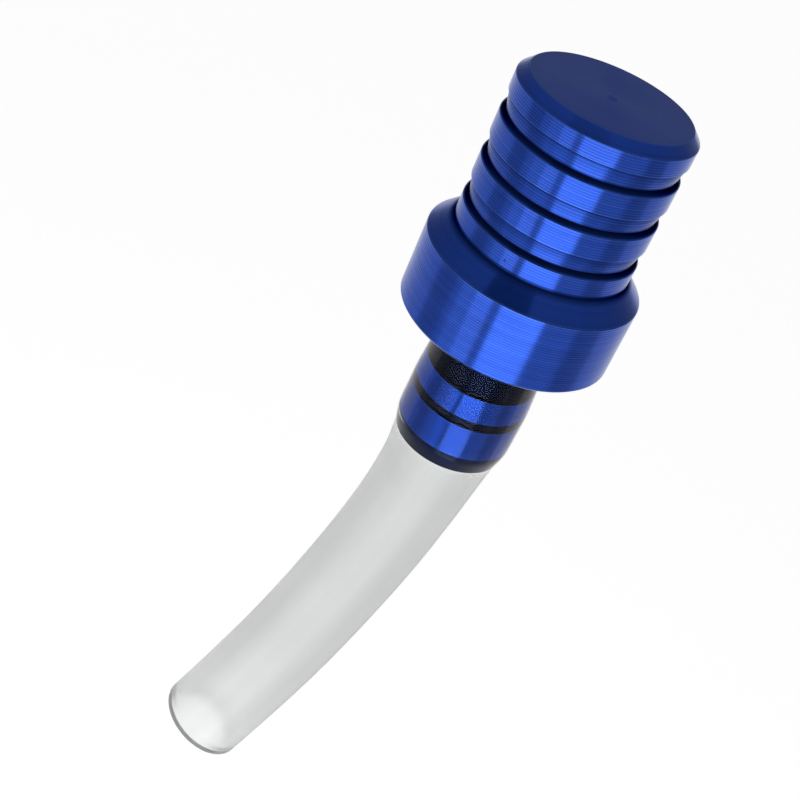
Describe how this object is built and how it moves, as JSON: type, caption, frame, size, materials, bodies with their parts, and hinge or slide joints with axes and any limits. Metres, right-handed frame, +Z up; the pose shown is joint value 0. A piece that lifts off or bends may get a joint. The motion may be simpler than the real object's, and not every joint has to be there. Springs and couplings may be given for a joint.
{
  "type": "fuel tank breather valve",
  "caption": "Turned and anodised breather valve with a grooved head, a skirt, a sprung ball check valve and a short clear hose pushed over its barbed stem.",
  "frame": {"origin": "middle of the open end of the hose, where it plugs onto a tank cap's nipple", "axes": "+Z up along the axis of the head, +X and +Y across it, towards the side that the head stands from the hose's open end"},
  "size_m": [0.0215, 0.017, 0.07],
  "materials": {
    "head_anodised_blue": "turned and blue anodised, satin with fine lathe lines",
    "stem_anodised_blue": "turned and blue anodised",
    "clear_hose": "clear soft PVC, slightly cloudy",
    "seat_brass": "turned",
    "black_rubber": "moulded nitrile",
    "ball_steel": "polished stainless ball",
    "spring_steel": "drawn stainless wire",
    "filter_foam": "open-cell foam"
  },
  "bodies": {
    "housing": {"vent_head": "head_anodised_blue", "barb_stem": "stem_anodised_blue", "valve_seat": "seat_brass", "seat_o_ring": "black_rubber", "flange_o_ring": "black_rubber", "filter_sleeve": "filter_foam", "ball_spring": "spring_steel", "vent_hose": "clear_hose"},
    "ball": {"check_ball": "ball_steel"}
  },
  "joints": [
    {"name": "ball_lift", "type": "slide", "parent": "housing", "child": "ball", "axis": [0, 0, -1], "range_m": [0, 0.0012], "stiffness_N_per_m": 12, "springref_m": -0.001, "deforming": ["ball_spring"]}
  ]
}
